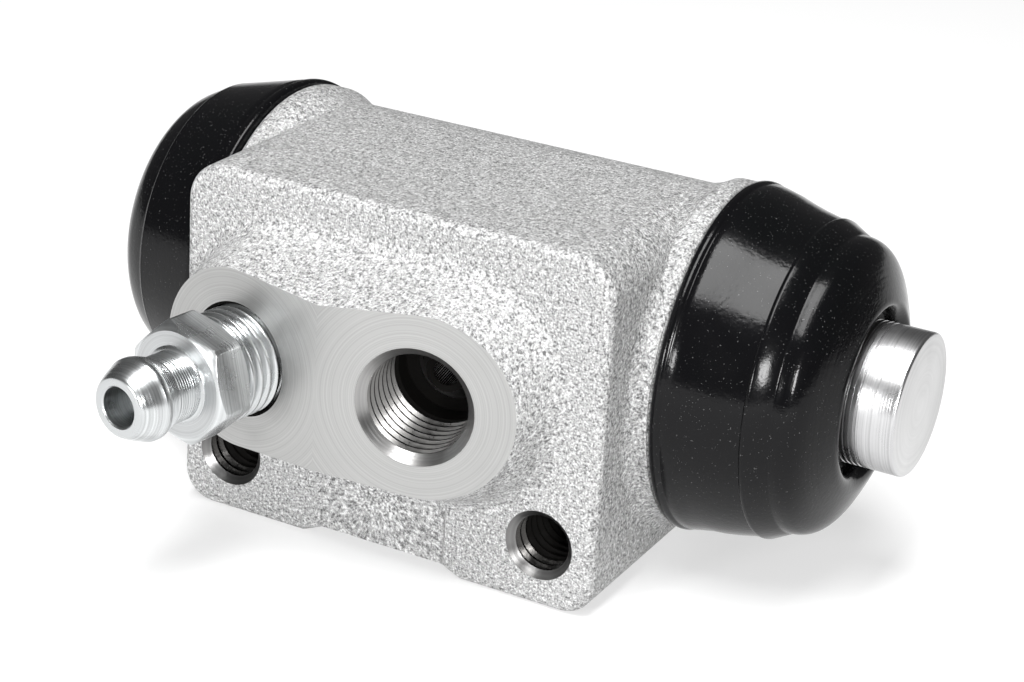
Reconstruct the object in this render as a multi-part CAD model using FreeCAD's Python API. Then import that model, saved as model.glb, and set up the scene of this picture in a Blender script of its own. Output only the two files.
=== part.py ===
import FreeCAD, Part
import math
import os

from FreeCAD import Vector

# Wheel cylinder of a drum brake, in millimetres.
# The bore lies along X, the mounting face looks to -Y and +Z is up.
# The origin is the middle of the two mounting holes, on the mounting face.

# Bore and its place above and behind the mounting holes
BORE_RADIUS = 9.525
BORE_DEPTH = 20.9
BORE_HEIGHT = 12.5
BORE_MOUTH_CHAMFER = 0.7

# Block that carries the mounting holes
BLOCK_HALF_WIDTH = 21.25
BARREL_RADIUS = 14.8
FOOT_DROP = 5.9
FOOT_BEHIND_AXIS = 4.0
TOP_CORNER_RADIUS = 3.8
FOOT_CORNER_RADIUS = 3.0
FRONT_EDGE_RADIUS = 0.9
ARCH_RISE = 0.85
ARCH_HALF_WIDTH = 6.3
ARCH_SLOPE_WIDTH = 1.9
WEB_RECESS = 0.5
WEB_RECESS_SLOPE = 0.45
WEB_RECESS_TOP = 4.0

# Collar, boot groove and end lip, outwards from the block's side
COLLAR_WIDTH = 1.8
COLLAR_RADIUS = 15.8
COLLAR_LAND = 2.0
COLLAR_FLARE_LENGTH = 3.6
COLLAR_FLARE_SUNK = 0.05
COLLAR_EDGE_RADIUS = 0.7
SHOULDER_FILLET = 1.6
SHOULDER_FILLET_RUN_OUT = 3.2
GROOVE_RADIUS = 13.6
GROOVE_WIDTH = 2.2
END_LIP_WIDTH = 1.8
END_LIP_RADIUS = 14.4
END_LIP_CHAMFER = 0.6

# Mounting holes, M6 x 1 threads at their major radius
MOUNT_SPACING = 32.0
MOUNT_HOLE_RADIUS = 3.0
MOUNT_HOLE_DEPTH = 12.0
MOUNT_CHAMFER_RADIUS = 3.25
DRILL_POINT_ANGLE = 118.0

# Boss with two machined facets that meet in an upright ridge
BOSS_HALF_HEIGHT = 10.8
BOSS_LEFT_CENTRE = -9.6
BOSS_RIGHT_CENTRE = 6.3
BOSS_TOP_HALF_HEIGHT = 7.7
BOSS_TOP_LEFT_CENTRE = -11.6
BOSS_TOP_RIGHT_CENTRE = 5.8
BOSS_SKIRT = 1.1
BOSS_SKIRT_STEPS = 3
BOSS_EDGE_INSET = 0.75
RIDGE_X = -2.7
RIDGE_HEIGHT = 7.3

# Fluid inlet, an M10 x 1 thread with a raised cone seat at its bottom
INLET_X = 6.2
INLET_ANGLE = 10.5
INLET_RADIUS = 5.0
INLET_CHAMFER_RADIUS = 5.4
INLET_THREAD_DEPTH = 8.0
INLET_CORE_RADIUS = 4.55
INLET_DEPTH = 10.5
INLET_SEAT_RADIUS = 3.3
INLET_SEAT_TOP_RADIUS = 1.9
INLET_SEAT_HEIGHT = 2.2
INLET_PASSAGE_RADIUS = 1.25

# Bleeder port, M10 x 1 with a cone seat
BLEED_X = -11.5
BLEED_ANGLE = 8.8
BLEED_RADIUS = 5.0
BLEED_CHAMFER_RADIUS = 5.25
BLEED_DEPTH = 11.4
BLEED_SEAT_HALF_ANGLE = 45.0
BLEED_PASSAGE_RADIUS = 1.2

# Bleeder screw; places along it are measured outwards from the facet
SCREW_THREAD_CLEARANCE = 0.1
SCREW_SEAT_CLEARANCE = 0.05
SCREW_TIP_RADIUS = 2.9
SCREW_TIP_POINT_RADIUS = 0.9
SCREW_TIP_STEP = 1.5
SCREW_SHANK_RADIUS = 3.9
SCREW_THREAD_START = -9.0
SCREW_THREAD_END = 2.0
SCREW_THREAD_CHAMFER = 0.4
SCREW_HEX_WIDTH = 9.9
SCREW_HEX_CORNER_RADIUS = 5.45
SCREW_HEX_LENGTH = 5.6
SCREW_HEX_CHAMFER = 0.45
SCREW_NECK_RADIUS = 3.2
SCREW_NECK_LENGTH = 2.6
SCREW_BARB_RADIUS = 3.7
SCREW_BARB_RISE_LENGTH = 1.6
SCREW_NOSE_LENGTH = 2.65
SCREW_NOSE_RADIUS = 2.5
SCREW_NOSE_BORE_RADIUS = 1.8
SCREW_NOSE_BORE_DEPTH = 6.0
SCREW_BORE_RADIUS = 1.1
SCREW_BORE_STEP = 0.5
SCREW_CROSS_BORE_RADIUS = 0.8
SCREW_CROSS_BORE_PLACE = 1.7

# Piston, from its inner end outwards; the left one rests further in
PISTON_INNER_END = 15.6
PISTON_CLEARANCE = 0.03
PISTON_HEAD_LENGTH = 10.0
PISTON_STEM_RADIUS = 6.5
PISTON_STEM_LENGTH = 8.0
PISTON_GROOVE_WIDTH = 2.2
PISTON_GROOVE_DEPTH = 0.7
PISTON_NOSE_LENGTH = 5.85
PISTON_LINE_PLACE = 1.6
PISTON_LINE_WIDTH = 0.4
PISTON_LINE_DEPTH = 0.2
PISTON_EDGE_CHAMFER = 0.5
PISTON_NOSE_CHAMFER = 0.25
LEFT_PISTON_INSET = 4.4

# Cup seal, its spring seat and the return spring
SEAL_CLEARANCE = 0.02
SEAL_LENGTH = 4.6
SEAL_BASE_THICKNESS = 1.9
SEAL_RELIEF = 0.4
SEAL_LIP_THICKNESS = 0.9
SEAL_ROOT_THICKNESS = 1.8
SEAT_PLATE_THICKNESS = 0.7
SEAT_RIM_HEIGHT = 1.5
SEAT_CLEARANCE = 0.1
SEAT_PILOT_HEIGHT = 1.6
SEAT_PILOT_TAPER = 0.35
SPRING_WIRE_RADIUS = 0.55
SPRING_COIL_RADIUS = 4.6
SPRING_TURNS = 5.5
SPRING_END_GAP = 0.05

# Rubber boot, from the body's groove to the piston's groove; the left one is drawn in
BOOT_WALL = 1.2
BOOT_CLEARANCE = 0.08
BOOT_BEAD_RADIUS = 16.3
BOOT_BEAD_HALF_WIDTH = 0.92
BOOT_BAND_RADIUS = 15.6
BOOT_BAND_LENGTH = 5.7
BOOT_BAND_END_RADIUS = 14.4
BOOT_RIDGE_WIDTH = 2.0
BOOT_RIDGE_BULGE = 0.6
BOOT_RIDGE_END_RADIUS = 13.7
BOOT_DOME_BULGE = 0.67
BOOT_DOME_INNER_BULGE = 0.4
BOOT_CROWN_RADIUS = 8.7
BOOT_CROWN_ROLL = 0.3
BOOT_CROWN_BULGE = 0.74
BOOT_MOUTH_RADIUS = 7.35
BOOT_MOUTH_LENGTH = 1.5
BOOT_MOUTH_DEPTH = 1.2
BOOT_LIP_FLARE = 0.3
LEFT_BOOT_RIDGE_INSET = 0.85
LEFT_BOOT_CROWN_INSET = 3.1
LEFT_BOOT_DOME_BULGE = 1.07

# How far a cutting or joined solid runs past what it meets
MARGIN = 1.0
FAR = 60.0

# Places along the bore, from its middle
COLLAR_END = BLOCK_HALF_WIDTH + COLLAR_WIDTH
GROOVE_END = COLLAR_END + GROOVE_WIDTH
BODY_END = GROOVE_END + END_LIP_WIDTH
HEAD_END = PISTON_INNER_END + PISTON_HEAD_LENGTH
PISTON_GROOVE_START = HEAD_END + PISTON_STEM_LENGTH
PISTON_GROOVE_END = PISTON_GROOVE_START + PISTON_GROOVE_WIDTH
SEAL_FLOOR = PISTON_INNER_END - SEAL_BASE_THICKNESS
SEAT_FACE = SEAL_FLOOR - SEAT_PLATE_THICKNESS


def wire(points):
    """Closed wire in the XZ plane; a point ('arc', middle, end) makes an arc."""
    start = Vector(points[0][0], 0, points[0][1])
    here = start
    edges = []
    for item in list(points[1:]) + [points[0]]:
        if item[0] == "arc":
            middle = Vector(item[1][0], 0, item[1][1])
            there = Vector(item[2][0], 0, item[2][1])
            edges.append(Part.Arc(here, middle, there).toShape())
        else:
            there = Vector(item[0], 0, item[1])
            if here.distanceToPoint(there) > 1e-7:
                edges.append(Part.makeLine(here, there))
        here = there
    return Part.Wire(edges)


def corner(centre, radius, start, end):
    """Arc item for wire(): from start to end degrees around centre."""
    middle, last = [(centre[0] + radius * math.cos(math.radians(angle)),
                     centre[1] + radius * math.sin(math.radians(angle)))
                    for angle in ((start + end) / 2, end)]
    return ("arc", middle, last)


def bulged(start, end, bulge):
    """Arc item for wire(): it stands out by bulge to the left of its chord."""
    length = math.dist(start, end)
    across = ((start[1] - end[1]) / length, (end[0] - start[0]) / length)
    middle = [(start[i] + end[i]) / 2 + bulge * across[i] for i in (0, 1)]
    return ("arc", middle, end)


def eased(level, sloped, end):
    """Arc item for wire() that runs along the axis at its level end."""
    run = sloped[0] - level[0]
    rise = sloped[1] - level[1]
    radius = (run ** 2 + rise ** 2) / (2 * abs(rise))
    half_turn = math.asin(abs(run) / radius) / 2
    middle = (level[0] + math.copysign(radius * math.sin(half_turn), run),
              level[1] + math.copysign(radius * (1 - math.cos(half_turn)), rise))
    return ("arc", middle, end)


def turned(points):
    """Solid turned about X from (x, radius) points, placed on the bore axis."""
    face = Part.Face(wire(points))
    solid = face.revolve(Vector(0, 0, 0), Vector(1, 0, 0), 360)
    solid.translate(Vector(0, BORE_DEPTH, BORE_HEIGHT))
    return solid


def on_side(solid, side):
    """The right-hand piece as it is, or its mirror image on the left."""
    return solid if side > 0 else solid.mirror(Vector(0, 0, 0), Vector(1, 0, 0))


def on_piston(solid, side):
    """A right-hand piece that moves with its piston, placed as far in as that piston rests."""
    placed = on_side(solid, side)
    if side < 0:
        placed.translate(Vector(LEFT_PISTON_INSET, 0, 0))
    return placed


def front_outline(inset):
    """Outline of the block seen from the front, with the low arch in its foot."""
    half = BLOCK_HALF_WIDTH - inset
    top = BORE_HEIGHT + BARREL_RADIUS - inset
    foot = -FOOT_DROP + inset
    arch = foot + ARCH_RISE
    slope = ARCH_HALF_WIDTH + ARCH_SLOPE_WIDTH
    t = TOP_CORNER_RADIUS - inset
    f = FOOT_CORNER_RADIUS - inset
    return wire([
        (-slope, foot), (-ARCH_HALF_WIDTH, arch), (ARCH_HALF_WIDTH, arch), (slope, foot),
        (half - f, foot), corner((half - f, foot + f), f, -90, 0),
        (half, top - t), corner((half - t, top - t), t, 0, 90),
        (-half + t, top), corner((-half + t, top - t), t, 90, 180),
        (-half, foot + f), corner((-half + f, foot + f), f, 180, 270),
    ])


def within_front_outline(inset=0.0):
    """Everything within the block's front outline, far to the front and back."""
    face = Part.Face(front_outline(inset))
    face.translate(Vector(0, -FAR, 0))
    return face.extrude(Vector(0, 2 * FAR, 0))


def side_prism(half_width):
    """The block's side outline, drawn along X: flat top, round back, foot."""
    radius = BARREL_RADIUS
    foot = -FOOT_DROP
    top = BORE_HEIGHT + radius
    back_drop = math.sqrt(radius ** 2 - FOOT_BEHIND_AXIS ** 2)
    back = BORE_DEPTH + FOOT_BEHIND_AXIS
    points = [
        Vector(-half_width, 0, foot), Vector(-half_width, 0, top),
        Vector(-half_width, BORE_DEPTH, top),
        Vector(-half_width, BORE_DEPTH + radius, BORE_HEIGHT),
        Vector(-half_width, back, BORE_HEIGHT - back_drop), Vector(-half_width, back, foot),
    ]
    outline = Part.Wire([
        Part.makeLine(points[0], points[1]), Part.makeLine(points[1], points[2]),
        Part.Arc(points[2], points[3], points[4]).toShape(),
        Part.makeLine(points[4], points[5]), Part.makeLine(points[5], points[0]),
    ])
    return Part.Face(outline).extrude(Vector(2 * half_width, 0, 0))


def on_mounting_face(edge):
    return all(abs(vertex.Y) < 1e-6 for vertex in edge.Vertexes) and abs(edge.CenterOfMass.y) < 1e-6


def block():
    """Block with rounded corners and a rounded front edge."""
    solid = side_prism(BLOCK_HALF_WIDTH + MARGIN).common(within_front_outline())
    rim = [edge for edge in solid.Edges if on_mounting_face(edge)]
    return solid.makeFillet(FRONT_EDGE_RADIUS, rim).cut(web_recess())


def web_recess():
    """Shallow recess in the front face between the two mounting holes."""
    half = ARCH_HALF_WIDTH
    low = -FOOT_DROP - MARGIN
    corners = [(-half - WEB_RECESS_SLOPE, 0), (-half, WEB_RECESS), (half, WEB_RECESS),
               (half + WEB_RECESS_SLOPE, 0), (half + WEB_RECESS_SLOPE, -MARGIN),
               (-half - WEB_RECESS_SLOPE, -MARGIN)]
    points = [Vector(x, y, low) for x, y in corners]
    face = Part.Face(Part.makePolygon(points + points[:1]))
    return face.extrude(Vector(0, 0, WEB_RECESS_TOP - low))


def end_collar():
    """Right-hand end of the barrel: flared collar, boot groove and end lip."""
    edge = COLLAR_EDGE_RADIUS
    flare_end = (COLLAR_END - COLLAR_LAND, COLLAR_RADIUS)
    flare_start = (flare_end[0] - COLLAR_FLARE_LENGTH, BARREL_RADIUS - COLLAR_FLARE_SUNK)
    return turned([
        (flare_start[0], 0), flare_start, eased(flare_start, flare_end, flare_end),
        (COLLAR_END - edge, COLLAR_RADIUS),
        corner((COLLAR_END - edge, COLLAR_RADIUS - edge), edge, 90, 0),
        (COLLAR_END, GROOVE_RADIUS), (GROOVE_END, GROOVE_RADIUS),
        (GROOVE_END, END_LIP_RADIUS), (BODY_END - END_LIP_CHAMFER, END_LIP_RADIUS),
        (BODY_END, END_LIP_RADIUS - END_LIP_CHAMFER), (BODY_END, 0),
    ])


def shoulder_range():
    """Where the block's side is flat; it narrows outwards so that the fillet runs out."""
    side = BLOCK_HALF_WIDTH
    end = side + SHOULDER_FILLET
    low = FOOT_CORNER_RADIUS - FOOT_DROP
    high = BORE_HEIGHT + BARREL_RADIUS - TOP_CORNER_RADIUS
    run = SHOULDER_FILLET_RUN_OUT
    corners = [(side - MARGIN, low), (side, low), (end, low + run),
               (end, high - run), (side, high), (side - MARGIN, high)]
    points = [Vector(x, 0, z) for x, z in corners]
    return Part.Face(Part.makePolygon(points + points[:1])).extrude(Vector(0, FAR, 0))


def shoulder_fillet():
    """Hollow fillet where the block's right side meets the round collar."""
    f = SHOULDER_FILLET
    inner = BLOCK_HALF_WIDTH - MARGIN
    low = COLLAR_RADIUS - MARGIN
    centre = (BLOCK_HALF_WIDTH + f, COLLAR_RADIUS + f)
    ring = turned([
        (inner, low), (inner, centre[1]), (BLOCK_HALF_WIDTH, centre[1]),
        corner(centre, f, 180, 270), (centre[0], low),
    ])
    return ring.common(side_prism(FAR)).common(shoulder_range())


def boss_ring(out, spread):
    """The boss's long round outline at a distance out from the mounting face."""
    share = max(out, 0) / RIDGE_HEIGHT
    left = BOSS_LEFT_CENTRE + share * (BOSS_TOP_LEFT_CENTRE - BOSS_LEFT_CENTRE)
    right = BOSS_RIGHT_CENTRE + share * (BOSS_TOP_RIGHT_CENTRE - BOSS_RIGHT_CENTRE)
    half = BOSS_HALF_HEIGHT + share * (BOSS_TOP_HALF_HEIGHT - BOSS_HALF_HEIGHT) + spread
    z = BORE_HEIGHT
    corners = [Vector(left, -out, z + half), Vector(right, -out, z + half),
               Vector(right, -out, z - half), Vector(left, -out, z - half)]
    return Part.Wire([
        Part.makeLine(corners[0], corners[1]),
        Part.Arc(corners[1], Vector(right + half, -out, z), corners[2]).toShape(),
        Part.makeLine(corners[2], corners[3]),
        Part.Arc(corners[3], Vector(left - half, -out, z), corners[0]).toShape(),
    ])


def boss():
    """Drafted boss on a hollow skirt, cut by the two facets, clear of the block's front edge."""
    rings = [boss_ring(-MARGIN, BOSS_SKIRT)]
    for step in range(BOSS_SKIRT_STEPS + 1):
        turn = step / BOSS_SKIRT_STEPS * math.pi / 2
        rings.append(boss_ring(BOSS_SKIRT * (1 - math.cos(turn)), BOSS_SKIRT * (1 - math.sin(turn))))
    rings.append(boss_ring(RIDGE_HEIGHT + MARGIN, 0))
    solid = Part.makeLoft(rings, True, True).common(facet_prism())
    return solid.common(within_front_outline(BOSS_EDGE_INSET))


def facet_prism():
    """Everything behind the two facets, as a prism drawn along Z."""
    ridge = Vector(RIDGE_X, -RIDGE_HEIGHT, -FAR)
    right = ridge + Vector(FAR, FAR * math.tan(math.radians(INLET_ANGLE)), 0)
    left = ridge + Vector(-FAR, FAR * math.tan(math.radians(BLEED_ANGLE)), 0)
    behind = Vector(0, FAR, 0)
    corners = [left, ridge, right, right + behind, left + behind, left]
    return Part.Face(Part.makePolygon(corners)).extrude(Vector(0, 0, 2 * FAR))


def port_frame(x, angle, side):
    """Where a port's axis crosses its facet, and its direction out of the facet."""
    turn = math.radians(angle)
    origin = Vector(x, -RIDGE_HEIGHT + abs(x - RIDGE_X) * math.tan(turn), BORE_HEIGHT)
    return origin, Vector(side * math.sin(turn), -math.cos(turn), 0)


def inlet_frame():
    return port_frame(INLET_X, INLET_ANGLE, 1)


def bleed_frame():
    return port_frame(BLEED_X, BLEED_ANGLE, -1)


def turned_on(points, frame):
    """Solid turned about a port's axis; points are (distance out, radius)."""
    origin, direction = frame
    solid = Part.Face(wire(points)).revolve(Vector(0, 0, 0), Vector(1, 0, 0), 360)
    turn = FreeCAD.Rotation(Vector(1, 0, 0), direction)
    solid.Placement = FreeCAD.Placement(origin, turn)
    return solid


def bore_cut():
    """The bore, widened by a chamfer at both mouths."""
    start = BODY_END - BORE_MOUTH_CHAMFER
    wide = BORE_RADIUS + BORE_MOUTH_CHAMFER + MARGIN
    end = BODY_END + MARGIN
    return turned([
        (-end, 0), (-end, wide), (-start, BORE_RADIUS), (start, BORE_RADIUS), (end, wide), (end, 0),
    ])


def mouth_points(radius, chamfer_radius):
    """Points from outside a port's mouth, down its chamfer to its wall."""
    return [(MARGIN, 0), (MARGIN, chamfer_radius + MARGIN), (radius - chamfer_radius, radius)]


def passage(frame, start_depth, radius):
    """Drilling from a port's bottom into the bore."""
    origin, direction = frame
    axis_depth = (BORE_DEPTH - origin.y) / -direction.y
    end_depth = axis_depth - BORE_RADIUS / 2
    return turned_on([
        (-start_depth, 0), (-start_depth, radius), (-end_depth, radius), (-end_depth, 0),
    ], frame)


def inlet_cut():
    """Threaded inlet with its mouth chamfer, plain bottom, seat cone and passage."""
    seat_top = INLET_SEAT_HEIGHT - INLET_DEPTH
    core_start = INLET_CORE_RADIUS - INLET_RADIUS - INLET_THREAD_DEPTH
    cut = turned_on(mouth_points(INLET_RADIUS, INLET_CHAMFER_RADIUS) + [
        (-INLET_THREAD_DEPTH, INLET_RADIUS), (core_start, INLET_CORE_RADIUS),
        (-INLET_DEPTH, INLET_CORE_RADIUS), (-INLET_DEPTH, INLET_SEAT_RADIUS),
        (seat_top, INLET_SEAT_TOP_RADIUS), (seat_top, 0),
    ], inlet_frame())
    return cut.fuse(passage(inlet_frame(), -seat_top - MARGIN, INLET_PASSAGE_RADIUS))


def bleed_cut():
    """Threaded bleeder port with its cone seat and passage."""
    seat_depth = (BLEED_RADIUS - BLEED_PASSAGE_RADIUS) / math.tan(math.radians(BLEED_SEAT_HALF_ANGLE))
    bottom = -BLEED_DEPTH - seat_depth
    cut = turned_on(mouth_points(BLEED_RADIUS, BLEED_CHAMFER_RADIUS) + [
        (-BLEED_DEPTH, BLEED_RADIUS), (bottom, BLEED_PASSAGE_RADIUS), (bottom, 0),
    ], bleed_frame())
    return cut.fuse(passage(bleed_frame(), BLEED_DEPTH, BLEED_PASSAGE_RADIUS))


def mounting_hole_cut(side):
    """Blind threaded hole with its mouth chamfer and drill point."""
    point = MOUNT_HOLE_RADIUS / math.tan(math.radians(DRILL_POINT_ANGLE / 2))
    frame = (Vector(side * MOUNT_SPACING / 2, 0, 0), Vector(0, -1, 0))
    return turned_on(mouth_points(MOUNT_HOLE_RADIUS, MOUNT_CHAMFER_RADIUS) + [
        (-MOUNT_HOLE_DEPTH, MOUNT_HOLE_RADIUS), (-MOUNT_HOLE_DEPTH - point, 0),
    ], frame)


def cylinder_body():
    """The casting: block, barrel ends and boss, machined inside."""
    casting = block()
    for side in (-1, 1):
        casting = casting.fuse([on_side(end_collar(), side), on_side(shoulder_fillet(), side)])
    casting = casting.fuse(boss())
    cuts = [bore_cut(), inlet_cut(), bleed_cut(), mounting_hole_cut(-1), mounting_hole_cut(1)]
    for cut in cuts:
        casting = casting.cut(cut)
    return casting.removeSplitter()


def groove_points(start, width, radius, depth):
    return [(start, radius), (start, radius - depth), (start + width, radius - depth),
            (start + width, radius)]


def piston(side):
    """Piston with a plain head in the bore and a stem that pushes the shoe."""
    radius = BORE_RADIUS - PISTON_CLEARANCE
    edge = PISTON_EDGE_CHAMFER
    stem = PISTON_STEM_RADIUS
    end = PISTON_GROOVE_END + PISTON_NOSE_LENGTH
    nose = PISTON_NOSE_CHAMFER
    solid = turned(
        [(PISTON_INNER_END, 0), (PISTON_INNER_END, radius - edge), (PISTON_INNER_END + edge, radius),
         (HEAD_END - edge, radius), (HEAD_END, radius - edge), (HEAD_END, stem)]
        + groove_points(PISTON_GROOVE_START, PISTON_GROOVE_WIDTH, stem, PISTON_GROOVE_DEPTH)
        + groove_points(PISTON_GROOVE_END + PISTON_LINE_PLACE, PISTON_LINE_WIDTH, stem, PISTON_LINE_DEPTH)
        + [(end - nose, stem), (end, stem - nose), (end, 0)]
    )
    return on_piston(solid, side)


def cup_seal(side):
    """Rubber cup behind the piston, its lip towards the fluid."""
    outer = BORE_RADIUS - SEAL_CLEARANCE
    tip = PISTON_INNER_END - SEAL_LENGTH
    relief = SEAL_RELIEF
    solid = turned([
        (PISTON_INNER_END, 0), (PISTON_INNER_END, outer - relief), (SEAL_FLOOR, outer - relief / 2),
        (tip + relief, outer), (tip, outer - relief), (tip, outer - SEAL_LIP_THICKNESS),
        (SEAL_FLOOR, outer - SEAL_ROOT_THICKNESS), (SEAL_FLOOR, 0),
    ])
    return on_piston(solid, side)


def spring_seat(side):
    """Pressed seat that rests in the cup and centres the spring."""
    rim = BORE_RADIUS - SEAL_CLEARANCE - SEAL_ROOT_THICKNESS - SEAT_CLEARANCE
    rim_top = SEAL_FLOOR - SEAT_RIM_HEIGHT
    wall = SEAT_PLATE_THICKNESS
    pilot = SPRING_COIL_RADIUS - SPRING_WIRE_RADIUS - SEAT_CLEARANCE
    pilot_tip = pilot - SEAT_PILOT_TAPER
    pilot_top = SEAT_FACE - SEAT_PILOT_HEIGHT
    solid = turned([
        (SEAL_FLOOR, 0), (SEAL_FLOOR, rim), (rim_top, rim), (rim_top, rim - wall),
        (SEAT_FACE, rim - wall), (SEAT_FACE, pilot), (pilot_top, pilot_tip),
        (pilot_top, pilot_tip - wall), (SEAT_FACE, pilot_tip - wall), (SEAT_FACE, 0),
    ])
    return on_piston(solid, side)


def return_spring():
    """Light coil spring that keeps both cups against their pistons."""
    middle = LEFT_PISTON_INSET / 2
    half = SEAT_FACE - middle - SPRING_WIRE_RADIUS - SPRING_END_GAP
    pitch = 2 * half / SPRING_TURNS
    helix = Part.makeHelix(pitch, 2 * half, SPRING_COIL_RADIUS)
    start = Vector(SPRING_COIL_RADIUS, 0, 0)
    rise = pitch / (2 * math.pi * SPRING_COIL_RADIUS)
    ring = Part.makeCircle(SPRING_WIRE_RADIUS, start, Vector(0, 1, rise))
    solid = Part.Wire(helix.Edges).makePipeShell([Part.Wire([ring])], True, True)
    turn = FreeCAD.Rotation(Vector(0, 0, 1), Vector(1, 0, 0))
    solid.Placement = FreeCAD.Placement(Vector(middle - half, BORE_DEPTH, BORE_HEIGHT), turn)
    return solid


def boot(side):
    """Rubber boot: bead in the body's groove, band, ridge, dome and inner lip."""
    left = side < 0
    drawn_in = LEFT_PISTON_INSET if left else 0
    ridge_inset = LEFT_BOOT_RIDGE_INSET if left else 0
    crown_inset = LEFT_BOOT_CROWN_INSET if left else 0
    dome_bulge = LEFT_BOOT_DOME_BULGE if left else BOOT_DOME_BULGE
    wall = BOOT_WALL
    clear = BOOT_CLEARANCE
    foot = GROOVE_RADIUS + clear
    inside = END_LIP_RADIUS + clear
    bead_start = COLLAR_END + clear
    bead_end = GROOVE_END - clear
    half = BOOT_BEAD_HALF_WIDTH
    band_end = (GROOVE_END + BOOT_BAND_LENGTH - ridge_inset, BOOT_BAND_END_RADIUS)
    ridge_end = (band_end[0] + BOOT_RIDGE_WIDTH, BOOT_RIDGE_END_RADIUS)
    lip_start = PISTON_GROOVE_START + clear - drawn_in
    lip_end = PISTON_GROOVE_END - clear - drawn_in
    lip = PISTON_STEM_RADIUS - PISTON_GROOVE_DEPTH + clear
    mouth = (PISTON_GROOVE_END + BOOT_MOUTH_LENGTH - crown_inset, BOOT_MOUTH_RADIUS)
    crown = (mouth[0] + BOOT_MOUTH_DEPTH - BOOT_CROWN_ROLL, BOOT_CROWN_RADIUS)
    inner_dome_start = (mouth[0] - wall, BOOT_CROWN_RADIUS)
    inner_dome_end = (ridge_end[0] - wall / 2, ridge_end[1] - wall)
    solid = turned([
        (bead_start, foot), (bead_start, BOOT_BEAD_RADIUS - half),
        corner((bead_start + half, BOOT_BEAD_RADIUS - half), half, 180, 90),
        (GROOVE_END, BOOT_BAND_RADIUS), band_end, bulged(band_end, ridge_end, BOOT_RIDGE_BULGE),
        bulged(ridge_end, crown, dome_bulge), bulged(crown, mouth, BOOT_CROWN_BULGE),
        (lip_end, BOOT_MOUTH_RADIUS - BOOT_LIP_FLARE), (lip_end, lip), (lip_start, lip),
        (lip_start, BOOT_MOUTH_RADIUS + BOOT_LIP_FLARE), inner_dome_start,
        bulged(inner_dome_start, inner_dome_end, -BOOT_DOME_INNER_BULGE),
        (band_end[0], band_end[1] - wall), (BODY_END + clear, inside),
        (bead_end, inside), (bead_end, foot),
    ])
    return on_side(solid, side)


def hexagon_bar(frame):
    """Long hexagonal bar around a port's axis, with one flat upwards."""
    origin, direction = frame
    corner_radius = SCREW_HEX_WIDTH / 2 / math.cos(math.pi / 6)
    sideways = direction.cross(Vector(0, 0, 1))
    points = []
    for index in range(7):
        angle = index * math.pi / 3
        points.append(origin - direction * FAR + sideways * (corner_radius * math.cos(angle))
                      + Vector(0, 0, corner_radius * math.sin(angle)))
    return Part.Face(Part.makePolygon(points)).extrude(direction * (2 * FAR))


def screw_tip():
    """Shank end and cone point of the bleeder screw, just clear of the port's seat."""
    seat_angle = math.radians(BLEED_SEAT_HALF_ANGLE)
    touch = BLEED_DEPTH + (BLEED_RADIUS - SCREW_TIP_RADIUS) / math.tan(seat_angle)
    shank_end = SCREW_SEAT_CLEARANCE / math.sin(seat_angle) - touch
    return shank_end, shank_end - (SCREW_TIP_RADIUS - SCREW_TIP_POINT_RADIUS) / math.tan(seat_angle)


def bleeder_screw():
    """Bleeder: cone tip, threaded shank, hexagon, neck, hose barb and bores."""
    frame = bleed_frame()
    thread = BLEED_RADIUS - SCREW_THREAD_CLEARANCE
    turn = SCREW_THREAD_CHAMFER
    shank_end, point = screw_tip()
    hex_end = SCREW_THREAD_END + SCREW_HEX_LENGTH
    neck_end = (hex_end + SCREW_NECK_LENGTH, SCREW_NECK_RADIUS)
    barb = (neck_end[0] + SCREW_BARB_RISE_LENGTH, SCREW_BARB_RADIUS)
    nose = (barb[0] + SCREW_NOSE_LENGTH, SCREW_NOSE_RADIUS)
    screw = turned_on([
        (point, 0), (point, SCREW_TIP_POINT_RADIUS), (shank_end, SCREW_TIP_RADIUS),
        (shank_end + SCREW_TIP_STEP, SCREW_SHANK_RADIUS), (SCREW_THREAD_START, SCREW_SHANK_RADIUS),
        (SCREW_THREAD_START, thread - turn), (SCREW_THREAD_START + turn, thread),
        (SCREW_THREAD_END, thread), (SCREW_THREAD_END, SCREW_NECK_RADIUS), neck_end,
        eased(barb, neck_end, barb), eased(barb, nose, nose), (nose[0], 0),
    ], frame)
    corner_radius = SCREW_HEX_CORNER_RADIUS
    chamfer = SCREW_HEX_CHAMFER
    head = turned_on([
        (SCREW_THREAD_END, 0), (SCREW_THREAD_END, corner_radius - chamfer),
        (SCREW_THREAD_END + chamfer, corner_radius), (hex_end - chamfer, corner_radius),
        (hex_end, corner_radius - chamfer), (hex_end, 0),
    ], frame)
    screw = screw.fuse(head.common(hexagon_bar(frame)))
    return screw.cut(screw_bores(frame, shank_end, nose[0])).removeSplitter()


def screw_bores(frame, shank_end, nose_end):
    """Drilling from the nose almost to the tip, and the cross bore it meets."""
    cross_start = shank_end + SCREW_CROSS_BORE_PLACE
    wide_end = nose_end - SCREW_NOSE_BORE_DEPTH
    along = turned_on([
        (nose_end + MARGIN, 0), (nose_end + MARGIN, SCREW_NOSE_BORE_RADIUS),
        (wide_end, SCREW_NOSE_BORE_RADIUS), (wide_end - SCREW_BORE_STEP, SCREW_BORE_RADIUS),
        (cross_start, SCREW_BORE_RADIUS), (cross_start, 0),
    ], frame)
    origin, direction = frame
    middle = origin + direction * cross_start
    across = Part.makeCylinder(SCREW_CROSS_BORE_RADIUS, 2 * BLEED_RADIUS,
                               middle - Vector(0, 0, BLEED_RADIUS), Vector(0, 0, 1))
    return along.fuse(across)


SINGLE_PIECES = {
    "cylinder_body": cylinder_body,
    "return_spring": return_spring,
    "bleeder_screw": bleeder_screw,
}
PAIRED_PIECES = {"piston": piston, "cup_seal": cup_seal, "spring_seat": spring_seat, "boot": boot}


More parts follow.
